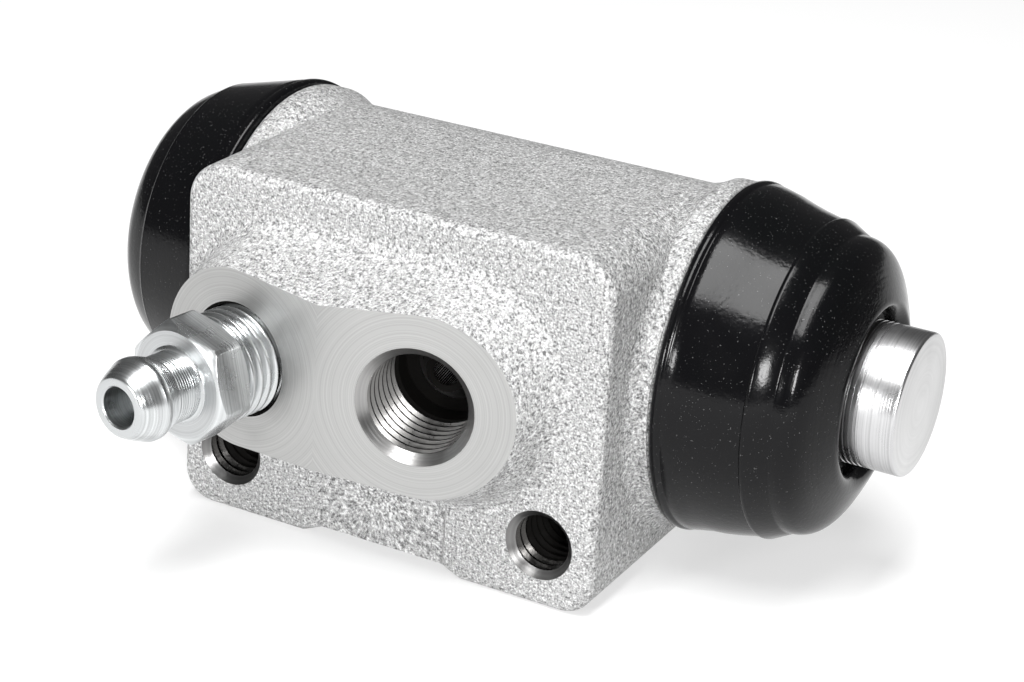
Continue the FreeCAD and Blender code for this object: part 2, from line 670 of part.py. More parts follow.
def main():
    os.makedirs("parts", exist_ok=True)
    shapes = {name: make() for name, make in SINGLE_PIECES.items()}
    for name, make in PAIRED_PIECES.items():
        shapes[name + "_left"] = make(-1)
        shapes[name + "_right"] = make(1)
    for name, shape in shapes.items():
        solid = shape.Solids[0] if len(shape.Solids) == 1 else shape
        solid.exportStep("parts/" + name + ".step")
        box = solid.BoundBox
        print(f"{name:20} solids {len(shape.Solids)} valid {shape.isValid()} volume {solid.Volume:9.2f}"
              f"  x {box.XMin:.2f}..{box.XMax:.2f} y {box.YMin:.2f}..{box.YMax:.2f}"
              f" z {box.ZMin:.2f}..{box.ZMax:.2f}")


main()
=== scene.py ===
from math import atan2, cos, pi, radians, sin, sqrt, tan

import bpy
from mathutils import Euler, Matrix, Vector


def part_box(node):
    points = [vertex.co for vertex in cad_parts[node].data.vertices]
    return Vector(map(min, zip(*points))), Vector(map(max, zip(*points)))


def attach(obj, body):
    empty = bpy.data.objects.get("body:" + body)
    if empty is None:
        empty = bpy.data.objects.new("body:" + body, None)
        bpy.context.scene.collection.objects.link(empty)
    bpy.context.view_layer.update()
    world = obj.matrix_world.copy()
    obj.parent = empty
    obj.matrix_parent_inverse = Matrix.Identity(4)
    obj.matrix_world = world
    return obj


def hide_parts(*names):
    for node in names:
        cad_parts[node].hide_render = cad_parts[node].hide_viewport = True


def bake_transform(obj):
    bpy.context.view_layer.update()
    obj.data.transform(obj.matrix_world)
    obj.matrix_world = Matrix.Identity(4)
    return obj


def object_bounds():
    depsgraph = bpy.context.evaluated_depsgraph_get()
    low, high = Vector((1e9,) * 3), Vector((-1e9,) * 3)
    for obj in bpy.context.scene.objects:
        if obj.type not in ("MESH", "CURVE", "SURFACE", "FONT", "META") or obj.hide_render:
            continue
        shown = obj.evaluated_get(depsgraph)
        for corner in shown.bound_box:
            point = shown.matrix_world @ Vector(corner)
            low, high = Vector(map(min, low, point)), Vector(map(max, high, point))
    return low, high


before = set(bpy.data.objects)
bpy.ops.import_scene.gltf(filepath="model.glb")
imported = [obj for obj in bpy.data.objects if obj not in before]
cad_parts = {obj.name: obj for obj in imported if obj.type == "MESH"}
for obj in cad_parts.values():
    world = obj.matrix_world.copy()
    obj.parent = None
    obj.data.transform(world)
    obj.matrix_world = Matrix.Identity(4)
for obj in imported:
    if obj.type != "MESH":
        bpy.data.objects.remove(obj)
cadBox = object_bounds()

mm = 0.001
boreMiddle = Vector((0, 20.9, 12.5)) * mm  # the bore runs along X through this point
turnedGap = 0.002 * mm  # points of a turned piece nearer than this are one
copiedGap = 0.0005 * mm  # the same for the copy of a solid


# Small helpers

def deselectAll():
    if bpy.context.mode != "OBJECT":
        bpy.ops.object.mode_set(mode="OBJECT")
    bpy.ops.object.select_all(action="DESELECT")


def pickOnly(piece):
    deselectAll()
    piece.select_set(True)
    bpy.context.view_layer.objects.active = piece


def placeAt(piece, matrix):
    # the place goes into the mesh, so the object stays at the origin
    pickOnly(piece)
    piece.matrix_world = matrix
    bpy.ops.object.transform_apply(location=True, rotation=True, scale=True)


def bulgePoints(start, end, bulge, count):
    # an arc from start to end that stands out by bulge to the left of its chord
    startPoint = Vector(start)
    endPoint = Vector(end)
    chord = endPoint - startPoint
    half = chord.length / 2
    radius = (half ** 2 + bulge ** 2) / (2 * abs(bulge))
    across = Vector((-chord.y, chord.x)).normalized() * (1 if bulge > 0 else -1)
    centre = (startPoint + endPoint) / 2 + across * (abs(bulge) - radius)
    first = atan2(startPoint.y - centre.y, startPoint.x - centre.x)
    last = atan2(endPoint.y - centre.y, endPoint.x - centre.x)
    turn = (last - first + pi) % (2 * pi) - pi
    return [(centre.x + radius * cos(first + turn * step / count),
             centre.y + radius * sin(first + turn * step / count)) for step in range(count + 1)]


def smoothCurve(points, perSpan):
    # an even curve through the given points
    run = []
    for index in range(len(points) - 1):
        before = Vector(points[max(index - 1, 0)])
        start = Vector(points[index])
        end = Vector(points[index + 1])
        after = Vector(points[min(index + 2, len(points) - 1)])
        for step in range(perSpan):
            share = step / perSpan
            place = 0.5 * (2 * start + (end - before) * share
                           + (2 * before - 5 * start + 4 * end - after) * share ** 2
                           + (3 * start - before - 3 * end + after) * share ** 3)
            run.append((place.x, place.y))
    run.append(tuple(points[-1]))
    return run


def easeStep(value):
    share = min(1, max(0, value))
    return share * share * (3 - 2 * share)


def spunPiece(name, outline, steps):
    # one vertex is drawn out along the outline, then spun about the X axis
    deselectAll()
    place, radius = outline[0]
    bpy.ops.mesh.primitive_plane_add(size=mm, location=(place * mm, 0, radius * mm))
    piece = bpy.context.object
    piece.name = name
    bpy.ops.object.mode_set(mode="EDIT")
    bpy.ops.mesh.select_all(action="SELECT")
    bpy.ops.mesh.merge(type="CENTER")
    for here, there in zip(outline, outline[1:]):
        step = ((there[0] - here[0]) * mm, 0, (there[1] - here[1]) * mm)
        bpy.ops.mesh.extrude_vertices_move(TRANSFORM_OT_translate={"value": step})
    bpy.ops.mesh.select_all(action="SELECT")
    bpy.ops.mesh.remove_doubles(threshold=turnedGap)
    bpy.ops.mesh.spin(steps=steps, angle=2 * pi, center=(0, 0, 0), axis=(1, 0, 0))
    bpy.ops.mesh.select_all(action="SELECT")
    bpy.ops.mesh.remove_doubles(threshold=turnedGap)
    bpy.ops.mesh.normals_make_consistent(inside=False)
    bpy.ops.object.mode_set(mode="OBJECT")
    bpy.ops.object.transform_apply(location=True, rotation=True, scale=True)
    return piece


def woundRidge(name, outline, pitch, turns):
    # a closed profile is wound along the X axis, and its two ends are filled
    stepsPerTurn = 72
    deselectAll()
    bpy.ops.mesh.primitive_circle_add(vertices=len(outline), radius=mm, location=(0, 0, 0))
    piece = bpy.context.object
    piece.name = name
    for vertex, (place, radius) in zip(piece.data.vertices, outline):
        vertex.co = (place * mm, 0, radius * mm)
    wind = piece.modifiers.new("wind", "SCREW")
    wind.axis = "X"
    wind.angle = 2 * pi * turns
    wind.screw_offset = pitch * turns * mm
    wind.steps = int(stepsPerTurn * turns)
    wind.render_steps = wind.steps
    bpy.ops.object.modifier_apply(modifier=wind.name)
    bpy.ops.object.mode_set(mode="EDIT")
    bpy.ops.mesh.select_all(action="DESELECT")
    bpy.ops.mesh.select_non_manifold()
    bpy.ops.mesh.edge_face_add()
    bpy.ops.mesh.select_all(action="SELECT")
    bpy.ops.mesh.normals_make_consistent(inside=False)
    bpy.ops.object.mode_set(mode="OBJECT")
    return piece


def smoothByAngle(piece, degrees):
    pickOnly(piece)
    bpy.ops.object.shade_smooth_by_angle(angle=radians(degrees))


def alongAxis(origin, direction):
    # turns X onto direction and puts the start at origin
    turn = Vector((1, 0, 0)).rotation_difference(direction).to_matrix().to_4x4()
    return Matrix.Translation(origin) @ turn


def outward(axis):
    return axis.to_3x3() @ Vector((1, 0, 0))


def awayFrom(axis, point):
    # (distance out along the axis, radius from it) in millimetres
    local = axis.inverted() @ point
    return local.x / mm, sqrt(local.y ** 2 + local.z ** 2) / mm


def onBore(piece, side):
    # the right-hand piece as it is, or turned half round to the left
    turn = Matrix.Rotation(0 if side > 0 else pi, 4, "Z")
    placeAt(piece, Matrix.Translation(boreMiddle) @ turn)


def setFinish(piece, *materials):
    piece.data.materials.clear()
    for material in materials:
        piece.data.materials.append(material)


def finishPiece(piece, material, body, nodes=()):
    setFinish(piece, material)
    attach(piece, body)
    if nodes:
        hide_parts(*nodes)


# Materials: depths are in millimetres, noise scales are per metre

def newMaterial(name, color, metallic, roughness):
    material = bpy.data.materials.new(name)
    material.use_nodes = True
    shader = material.node_tree.nodes["Principled BSDF"]
    shader.inputs["Base Color"].default_value = (*color, 1)
    shader.inputs["Metallic"].default_value = metallic
    shader.inputs["Roughness"].default_value = roughness
    return material, material.node_tree, shader


def addNode(tree, kind, **values):
    node = tree.nodes.new(kind)
    for key, value in values.items():
        if key in node.inputs:
            node.inputs[key].default_value = value
        else:
            setattr(node, key, value)
    return node


def mathNode(tree, operation, first, second):
    node = tree.nodes.new("ShaderNodeMath")
    node.operation = operation
    for index, value in enumerate((first, second)):
        if isinstance(value, (int, float)):
            node.inputs[index].default_value = value
        else:
            tree.links.new(value, node.inputs[index])
    return node.outputs[0]


def mixNode(tree, first, second, share):
    # share of the second, the rest of the first
    return mathNode(tree, "ADD", mathNode(tree, "MULTIPLY", first, 1 - share),
                    mathNode(tree, "MULTIPLY", second, share))


def splitNode(tree, vector):
    parts = tree.nodes.new("ShaderNodeSeparateXYZ")
    tree.links.new(vector, parts.inputs[0])
    return parts.outputs


def rampNode(tree, factor, stops):
    node = tree.nodes.new("ShaderNodeValToRGB")
    while len(node.color_ramp.elements) < len(stops):
        node.color_ramp.elements.new(0.5)
    for element, (place, grey) in zip(node.color_ramp.elements, stops):
        element.position = place
        element.color = (*grey, 1) if isinstance(grey, tuple) else (grey, grey, grey, 1)
    tree.links.new(factor, node.inputs["Fac"])
    return node.outputs["Color"]


def noiseNode(tree, vector, scale, detail=2.0, roughness=0.5):
    node = addNode(tree, "ShaderNodeTexNoise", Scale=scale, Detail=detail, Roughness=roughness)
    tree.links.new(vector, node.inputs["Vector"])
    return node.outputs["Fac"]


def bumpChain(tree, shader, layers):
    # each layer is (height socket, strength, distance in mm)
    previous = None
    for height, strength, distance in layers:
        node = addNode(tree, "ShaderNodeBump", Strength=strength, Distance=distance * mm)
        tree.links.new(height, node.inputs["Height"])
        if previous:
            tree.links.new(previous, node.inputs["Normal"])
        previous = node.outputs["Normal"]
    tree.links.new(previous, shader.inputs["Normal"])


def objectPlace(tree):
    return tree.nodes.new("ShaderNodeTexCoord").outputs["Object"]


def placeOnAxis(tree, matrix):
    # Object coordinates turned so that X runs along the axis and starts at its origin
    back = matrix.inverted()
    mapping = addNode(tree, "ShaderNodeMapping", vector_type="POINT")
    mapping.inputs["Location"].default_value = back.to_translation()
    mapping.inputs["Rotation"].default_value = back.to_euler("XYZ")
    tree.links.new(objectPlace(tree), mapping.inputs["Vector"])
    return mapping.outputs["Vector"]


def lineNoise(tree, vector, across, scale):
    # noise that changes only with the radius ("rings") or only along the axis ("turned")
    parts = splitNode(tree, vector)
    value = parts["X"]
    if across == "rings":
        ySquare = mathNode(tree, "POWER", parts["Y"], 2)
        zSquare = mathNode(tree, "POWER", parts["Z"], 2)
        value = mathNode(tree, "SQRT", mathNode(tree, "ADD", ySquare, zSquare), 0)
    node = addNode(tree, "ShaderNodeTexNoise", noise_dimensions="1D", Scale=scale, Detail=3.0)
    tree.links.new(value, node.inputs["W"])
    return node.outputs["Fac"]


castSkin = {"color": (0.45, 0.45, 0.45), "metallic": 0.25, "roughness": 0.5, "lumpShare": 0.4,
            "speckle": [(0.39, 0.13), (0.465, 0.38), (0.535, 0.53), (0.61, 0.86)],
            "broadScale": 160, "broadRoughness": [(0.3, 0.4), (0.7, 0.5)],
            "grainScale": 5200, "grainDepth": 0.2, "lumpScale": 2500, "lumpDepth": 0.2}


def castMaterial(values):
    material, tree, shader = newMaterial("castSkin", values["color"], values["metallic"], values["roughness"])
    place = objectPlace(tree)
    grain = noiseNode(tree, place, values["grainScale"], 3, 0.6)
    lumps = noiseNode(tree, place, values["lumpScale"], 3, 0.55)
    broad = noiseNode(tree, place, values["broadScale"])
    speckle = mixNode(tree, grain, lumps, values["lumpShare"])
    tree.links.new(rampNode(tree, speckle, values["speckle"]), shader.inputs["Base Color"])
    tree.links.new(rampNode(tree, broad, values["broadRoughness"]), shader.inputs["Roughness"])
    bumpChain(tree, shader, [(lumps, 0.9, values["lumpDepth"]), (grain, 1.0, values["grainDepth"])])
    return material


# fine and broad machining lines: spread is how far the roughness goes either way, grey the colour
facetLines = {"color": (0.41, 0.41, 0.405), "roughness": 0.45, "lineScale": 6500, "lineDepth": 0.014,
              "spread": 0.04, "grey": 0.1, "broadShare": 0.12}
endLines = {"color": (0.45, 0.45, 0.45), "roughness": 0.35, "lineScale": 2600, "lineDepth": 0.006,
            "spread": 0.04, "grey": 0.12, "broadShare": 0.4}


def turnedMaterial(name, matrix, across, values):
    color = values["color"]
    roughness = values["roughness"]
    spread = values["spread"]
    material, tree, shader = newMaterial(name, color, 1.0, roughness)
    place = placeOnAxis(tree, matrix)
    lines = lineNoise(tree, place, across, values["lineScale"])
    broad = lineNoise(tree, place, across, values["lineScale"] / 6)
    clouds = noiseNode(tree, objectPlace(tree), 350)
    tone = mixNode(tree, lines, broad, values["broadShare"])
    dark = tuple(channel * (1 - values["grey"]) for channel in color)
    light = tuple(min(1, channel * (1 + values["grey"])) for channel in color)
    tree.links.new(rampNode(tree, tone, [(0.3, dark), (0.7, light)]), shader.inputs["Base Color"])
    rough = rampNode(tree, clouds, [(0.3, roughness - spread), (0.7, roughness + spread)])
    tree.links.new(rough, shader.inputs["Roughness"])
    broadDepth = values["lineDepth"] * 5 * values["broadShare"]
    bumpChain(tree, shader, [(lines, 0.6, values["lineDepth"]), (broad, 0.5, broadDepth)])
    return material


def plainMaterial(name, color, metallic, roughness, scale, depth, specular=0.5):
    material, tree, shader = newMaterial(name, color, metallic, roughness)
    shader.inputs["Specular IOR Level"].default_value = specular
    fleck = noiseNode(tree, objectPlace(tree), scale, 3, 0.6)
    low = max(0.02, roughness - 0.08)
    tree.links.new(rampNode(tree, fleck, [(0.3, low), (0.7, roughness + 0.08)]), shader.inputs["Roughness"])
    bumpChain(tree, shader, [(fleck, 0.5, depth)])
    return material


# ribStart: fine ribs lie on the dome, further from the part's middle than this many millimetres
bootRubber = {"color": (0.003, 0.003, 0.0035), "roughness": 0.22, "specular": 0.19,
              "dustColor": (0.08, 0.08, 0.08), "dustScale": 6500, "dustFrom": 0.72, "dustFull": 0.76,
              "waveScale": 420, "waveDepth": 0.03, "waveRoughness": [(0.3, 0.12), (0.7, 0.19)],
              "peelScale": 2600, "peelDepth": 0.02, "ribScale": 2600, "ribDepth": 0.03, "ribStart": 33.4}


def bootMaterial(values):
    material, tree, shader = newMaterial("bootRubber", values["color"], 0.0, values["roughness"])
    shader.inputs["Specular IOR Level"].default_value = values["specular"]
    place = objectPlace(tree)
    peel = noiseNode(tree, place, values["peelScale"])
    waves = noiseNode(tree, place, values["waveScale"])
    dust = noiseNode(tree, place, values["dustScale"], 1, 0.4)
    dustTones = [(values["dustFrom"], values["color"]), (values["dustFull"], values["dustColor"])]
    tree.links.new(rampNode(tree, dust, dustTones), shader.inputs["Base Color"])
    tree.links.new(rampNode(tree, waves, values["waveRoughness"]), shader.inputs["Roughness"])
    fromMiddle = mathNode(tree, "ABSOLUTE", splitNode(tree, place)["X"], 0)
    onDome = mathNode(tree, "GREATER_THAN", fromMiddle, values["ribStart"] * mm)
    ribs = mathNode(tree, "MULTIPLY", lineNoise(tree, place, "turned", values["ribScale"]), onDome)
    bumpChain(tree, shader, [(waves, 0.5, values["waveDepth"]), (peel, 0.7, values["peelDepth"]),
                             (ribs, 0.5, values["ribDepth"])])
    return material


# Ports: where their axes cross the facets, and which way they face

ridge = {"x": -2.7, "height": 7.3}
inlet = {"x": 6.2, "degrees": 10.5, "side": 1, "wall": 5.0, "chamfer": 5.4, "crest": 4.56,
         "threadEnd": -8.35, "shadedRimGrey": 0.34}
bleed = {"x": -11.5, "degrees": 8.8, "side": -1}
holes = {"x": 16.0, "wall": 3.0, "chamfer": 3.25, "crest": 2.6, "threadEnd": -11.6, "paintedShadeFrom": -2.6,
         "shadedRimGrey": 0.2}


def portAxis(port):
    turn = radians(port["degrees"])
    out = -ridge["height"] + abs(port["x"] - ridge["x"]) * tan(turn)
    origin = Vector((port["x"], out, boreMiddle.z / mm)) * mm
    return alongAxis(origin, Vector((port["side"] * sin(turn), -cos(turn), 0)))


inletAxis = portAxis(inlet)
bleedAxis = portAxis(bleed)
holeAxes = [alongAxis(Vector((side * holes["x"] * mm, 0, 0)), Vector((0, -1, 0))) for side in (-1, 1)]
boreAxis = Matrix.Translation(boreMiddle)

# near-black colour for the walls inside the ports and holes: painted shade, as the real machined wall is
# bright metal
paintedShadeWall = plainMaterial("paintedShadeWall", (0.005, 0.0045, 0.004), 0.0, 0.75, 1400, 0.02, 0.1)
castingFinishes = {"cast": castMaterial(castSkin),
                   "inletFace": turnedMaterial("inletFace", inletAxis, "rings", facetLines),
                   "bleedFace": turnedMaterial("bleedFace", bleedAxis, "rings", facetLines),
                   "cutWall": plainMaterial("cutWall", (0.5, 0.5, 0.5), 1.0, 0.35, 1800, 0.01),
                   "turnedEnd": turnedMaterial("turnedEnd", boreAxis, "rings", endLines),
                   "paintedShadeWall": paintedShadeWall}
print("materials made")


# Casting: a merged copy of the solid, with machined faces told from the cast skin; the walls down in the
# ports and holes get a near-black painted shade

castingZones = {"facetDepth": 0.02, "facetFacing": 0.999, "portRadius": 5.5, "portDepth": 13.0,
                "seatRadius": 3.4, "seatFacing": (0.3, 0.97), "holeRadius": 3.3, "holeLip": 0.001,
                "boreRadius": 9.7, "endFrom": 23.0}


def copiedNode(node, name):
    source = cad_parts[node]
    deselectAll()
    piece = source.copy()
    piece.data = source.data.copy()
    piece.name = name
    bpy.context.collection.objects.link(piece)
    piece.parent = None
    piece.matrix_world = Matrix.Identity(4)
    pickOnly(piece)
    bpy.ops.object.mode_set(mode="EDIT")
    bpy.ops.mesh.select_all(action="SELECT")
    bpy.ops.mesh.remove_doubles(threshold=copiedGap)
    bpy.ops.object.mode_set(mode="OBJECT")
    bpy.ops.mesh.customdata_custom_splitnormals_clear()
    return piece


def weighNormals(piece):
    # large flats keep their own direction beside the rounds
    pickOnly(piece)
    weigh = piece.modifiers.new("weigh", "WEIGHTED_NORMAL")
    weigh.mode = "FACE_AREA"
    weigh.weight = 80
    weigh.keep_sharp = True
    bpy.ops.object.modifier_apply(modifier=weigh.name)


# faces down in the ports and holes, all but the inlet's seat, are painted near-black as shade
def castingFinish(centre, normal, zones):
    for axis, face in ((inletAxis, "inletFace"), (bleedAxis, "bleedFace")):
        out, radius = awayFrom(axis, centre)
        facing = normal.dot(outward(axis))
        if abs(out) < zones["facetDepth"] and facing > zones["facetFacing"]:
            return face
        if radius < zones["portRadius"] and -zones["portDepth"] < out < zones["facetDepth"]:
            least, most = zones["seatFacing"]
            onSeat = face == "inletFace" and radius < zones["seatRadius"] and least < facing < most
            return "cutWall" if onSeat else "paintedShadeWall"
    for axis in holeAxes:
        out, radius = awayFrom(axis, centre)
        if radius < zones["holeRadius"] and out < -zones["holeLip"]:
            return "paintedShadeWall"
    out, radius = awayFrom(boreAxis, centre)
    if radius < zones["boreRadius"] or abs(out) > zones["endFrom"]:
        return "turnedEnd"
    return "cast"


casting = copiedNode("cylinder_body", "castingSkin")
setFinish(casting, *castingFinishes.values())
finishOrder = list(castingFinishes)
for polygon in casting.data.polygons:
    polygon.material_index = finishOrder.index(castingFinish(polygon.center, polygon.normal, castingZones))
smoothByAngle(casting, 28)
weighNormals(casting)
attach(casting, "body")
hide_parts("cylinder_body")
print("casting made")


# Internal threads: a chamfer ring at the mouth, and a ridge wound down the wall below it

wallLap = 0.08  # how far rings and ridges reach into the wall behind them
mouth = {"sunk": 0.003, "outside": 0.04, "flat": 0.022, "lip": 0.06, "lipRise": 0.02, "back": 0.26,
         "rear": 0.4}
ridgeForm = {"pitch": 1.0, "start": -0.3, "halfFoot": 0.43, "halfCrest": 0.1, "faceGap": 0.05,
             "chamferGap": 0.02}
rimLines = {"roughness": 0.32, "lineScale": 5200, "lineDepth": 0.014, "spread": 0.04, "grey": 0.12,
            "broadShare": 0.4}


def mouthRing(name, port, axis):
    face = -mouth["sunk"]
    depth = port["chamfer"] - port["crest"] - ridgeForm["chamferGap"]
    behind = port["wall"] + wallLap
    outside = (face, port["chamfer"] + mouth["outside"])
    outline = [outside, (face, port["chamfer"] - mouth["flat"]), (-depth, port["crest"]),
               (-depth - mouth["lip"], port["crest"] + mouth["lipRise"]), (-depth - mouth["back"], behind),
               (-mouth["rear"], behind), outside]
    piece = spunPiece(name, outline, 96)
    placeAt(piece, axis)
    smoothByAngle(piece, 30)
    return piece


def threadRidge(name, port, axis):
    start = ridgeForm["start"]
    foot = ridgeForm["halfFoot"]
    crest = ridgeForm["halfCrest"]
    wall = port["wall"] + wallLap
    outline = [(start - foot, wall), (start + foot, wall), (start + crest, port["crest"]),
               (start - crest, port["crest"])]
    turns = (start - port["threadEnd"]) / ridgeForm["pitch"]
    piece = woundRidge(name, outline, -ridgeForm["pitch"], turns)
    for vertex in piece.data.vertices:  # the first turn stays behind the face and the chamfer
        vertex.co.x = min(vertex.co.x, -ridgeForm["faceGap"] * mm)
        radius = sqrt(vertex.co.y ** 2 + vertex.co.z ** 2) / mm
        least = port["chamfer"] + vertex.co.x / mm + ridgeForm["chamferGap"]
        if radius < least:
            vertex.co.y *= least / radius
            vertex.co.z *= least / radius
    placeAt(piece, axis)
    smoothByAngle(piece, 35)
    return piece


def rimMaterial(name, port, axis):
    # machined chamfer grey, darkened below the facets' grey as painted shade of the hole mouths
    grey = port["shadedRimGrey"]
    return turnedMaterial(name, axis, "rings", {"color": (grey, grey * 0.99, grey * 0.98), **rimLines})


# the thread ridges are painted dark grey (inlet) and near-black (holes) as painted shade inside the port and
# holes; real cut threads are bright metal
inletThread = plainMaterial("inletThread", (0.17, 0.167, 0.163), 1.0, 0.34, 2200, 0.01)
shadedHoleThread = plainMaterial("shadedHoleThread", (0.06, 0.058, 0.056), 1.0, 0.26, 2200, 0.01)
for place, port, axis, shadedThreadFinish in (("inlet", inlet, inletAxis, inletThread),
                                        ("mountLeft", holes, holeAxes[0], shadedHoleThread),
                                        ("mountRight", holes, holeAxes[1], shadedHoleThread)):
    thread = threadRidge(place + "Thread", port, axis)
    finishPiece(thread, shadedThreadFinish, "body")
    # in the mounting holes, thread turns deeper than this get the near-black painted shade
    if "paintedShadeFrom" in port:
        thread.data.materials.append(paintedShadeWall)
        for polygon in thread.data.polygons:
            if awayFrom(axis, polygon.center)[0] < port["paintedShadeFrom"]:
                polygon.material_index = 1
    finishPiece(mouthRing(place + "Mouth", port, axis), rimMaterial(place + "Rim", port, axis), "body")
print("internal threads made")


# Bleeder screw: turned core with hexagon, wound thread; places are out from the facet

screw = {"tipEnd": -13.5, "tip": 0.9, "coneEnd": -11.55, "cone": 2.85, "shoulder": -10.1, "shank": 3.85,
         "shankEnd": -9.0, "threadStart": -8.7, "threadEnd": 3.7, "root": 4.36, "crest": 4.9,
         "hexEnd": 7.6, "hexTurn": -16, "hexFlats": 9.9, "hexCorner": 5.6, "hexFaceRadius": 4.7,
         "hexEdge": 0.5, "hexCore": 4.0, "collar": 3.45, "collarEdge": 0.1, "neck": 3.1, "neckEnd": 10.2,
         "neckRings": 8, "neckRingPitch": 0.27, "neckRingDepth": 0.035, "barbRings": 6,
         "barb": 3.7, "barbPlace": 11.75, "barbFlat": 0.45, "noseEnd": 14.45, "nose": 2.6, "noseBulge": 0.06,
         "noseBore": 1.8, "noseBoreEdge": 0.12, "noseBoreDepth": 6.0, "longBore": 1.1, "longBoreEnd": -11.3}


def shankOutline(values):
    # from the tip up to the collar over the hexagon
    root = values["root"]
    shankEnd = values["shankEnd"]
    hexStart = values["threadEnd"] + 0.3
    hexTop = values["hexEnd"] - 0.2
    face = values["hexEnd"]
    collar = values["collar"]
    edge = values["collarEdge"]
    return [(values["tipEnd"], 0), (values["tipEnd"], values["tip"]), (values["coneEnd"], values["cone"]),
            (values["shoulder"], values["shank"]), (shankEnd, values["shank"]), (shankEnd, root - 0.1),
            (shankEnd + 0.2, root), (hexStart, root), (hexStart, values["hexCore"]),
            (hexTop, values["hexCore"]), (hexTop, collar), (face + 0.12, collar),
            (face + 0.12 + edge, collar - edge), (face + 0.3, values["neck"])]


def neckOutline(values):
    # fine turned rings on the neck, then coarser ones on the way up to the barb
    outline = []
    neck = values["neck"]
    for index in range(values["neckRings"]):
        place = values["hexEnd"] + 0.45 + index * values["neckRingPitch"]
        outline += [(place, neck), (place + 0.08, neck - values["neckRingDepth"]), (place + 0.16, neck)]
    for index in range(values["barbRings"]):
        share = index / values["barbRings"]
        place = values["neckEnd"] + (values["barbPlace"] - values["neckEnd"]) * share
        radius = neck + (values["barb"] - neck) * share ** 0.8
        outline += [(place, radius), (place + 0.09, radius - 0.02), (place + 0.16, radius + 0.03)]
    return outline


def noseOutline(values):
    # from the barb over the nose and down the bore
    barb = values["barb"]
    flatEnd = values["barbPlace"] + values["barbFlat"]
    nose = values["nose"]
    noseEnd = values["noseEnd"]
    bore = values["noseBore"]
    boreEnd = noseEnd - values["noseBoreDepth"]
    edge = values["noseBoreEdge"]
    cone = bulgePoints((flatEnd + 0.17, barb - 0.1), (noseEnd - 0.16, nose + 0.14), values["noseBulge"], 6)
    return [(values["barbPlace"], barb), (flatEnd, barb), (flatEnd + 0.1, barb - 0.04), *cone,
            (noseEnd - 0.05, nose + 0.04), (noseEnd, nose - 0.08), (noseEnd, bore + edge),
            (noseEnd - edge, bore), (boreEnd, bore), (boreEnd - 0.5, values["longBore"]),
            (values["longBoreEnd"], values["longBore"]), (values["longBoreEnd"], 0)]


def screwHexagon(values):
    # a six-sided bar, cut to shape by a turned blank with chamfered ends
    start = values["threadEnd"]
    end = values["hexEnd"]
    radius = values["hexFlats"] / 2 / cos(pi / 6)
    deselectAll()
    bpy.ops.mesh.primitive_cylinder_add(vertices=6, radius=radius * mm, depth=(end - start) * mm,
                                        location=((start + end) / 2 * mm, 0, 0), rotation=(0, pi / 2, 0))
    bar = bpy.context.object
    bar.name = "bleederHexagon"
    bpy.ops.object.transform_apply(location=True, rotation=True, scale=True)
    bar.rotation_euler = (radians(values["hexTurn"]), 0, 0)
    bpy.ops.object.transform_apply(location=True, rotation=True, scale=True)
    corner = values["hexCorner"]
    face = values["hexFaceRadius"]
    edge = values["hexEdge"]
    beyond = 0.01
    blank = spunPiece("hexagonBlank", [
        (start - beyond, 0), (start - beyond, face), (start + edge, corner), (end - edge, corner),
        (end + beyond, face), (end + beyond, 0)], 96)
    pickOnly(bar)
    cut = bar.modifiers.new("turned", "BOOLEAN")
    cut.operation = "INTERSECT"
    cut.solver = "EXACT"
    cut.object = blank
    bpy.ops.object.modifier_apply(modifier=cut.name)
    bpy.data.objects.remove(blank)
    pickOnly(bar)
    bevel = bar.modifiers.new("bevel", "BEVEL")
    bevel.width = 0.05 * mm
    bevel.segments = 2
    bevel.limit_method = "ANGLE"
    bevel.angle_limit = radians(18)
    bpy.ops.object.modifier_apply(modifier=bevel.name)
    return bar


def screwThread(values):
    start = values["threadStart"]
    turns = values["threadEnd"] + 0.25 - start
    crest = values["crest"]
    root = values["root"] - 0.03
    profile = [(-0.47, root), (-0.14, crest - 0.03), (-0.07, crest), (0.07, crest), (0.14, crest - 0.03),
               (0.47, root)]
    return woundRidge("bleederThread", [(start + out, radius) for out, radius in profile], 1.0, turns)


platedTurned = turnedMaterial("platedTurned", bleedAxis, "turned", {
    "color": (0.58, 0.595, 0.6), "roughness": 0.28, "lineScale": 5200, "lineDepth": 0.03, "spread": 0.05,
    "grey": 0.2, "broadShare": 0.25})
platedFlat = turnedMaterial("platedFlat", bleedAxis, "rings", {
    "color": (0.5, 0.51, 0.515), "roughness": 0.36, "lineScale": 5200, "lineDepth": 0.02, "spread": 0.05,
    "grey": 0.16, "broadShare": 0.2})
core = spunPiece("bleederCore", shankOutline(screw) + neckOutline(screw) + noseOutline(screw), 96)
placeAt(core, bleedAxis)
smoothByAngle(core, 32)
finishPiece(core, platedTurned, "bleeder", ["bleeder_screw"])
hexagon = screwHexagon(screw)
placeAt(hexagon, bleedAxis)
smoothByAngle(hexagon, 20)
finishPiece(hexagon, platedTurned, "bleeder")
hexagon.data.materials.append(platedFlat)
for polygon in hexagon.data.polygons:
    if abs(polygon.normal.dot(outward(bleedAxis))) > 0.95:
        polygon.material_index = 1
wound = screwThread(screw)
placeAt(wound, bleedAxis)
smoothByAngle(wound, 30)
finishPiece(wound, platedTurned, "bleeder")
print("bleeder screw made")


# Pistons: turned outline from the inner end to the nose

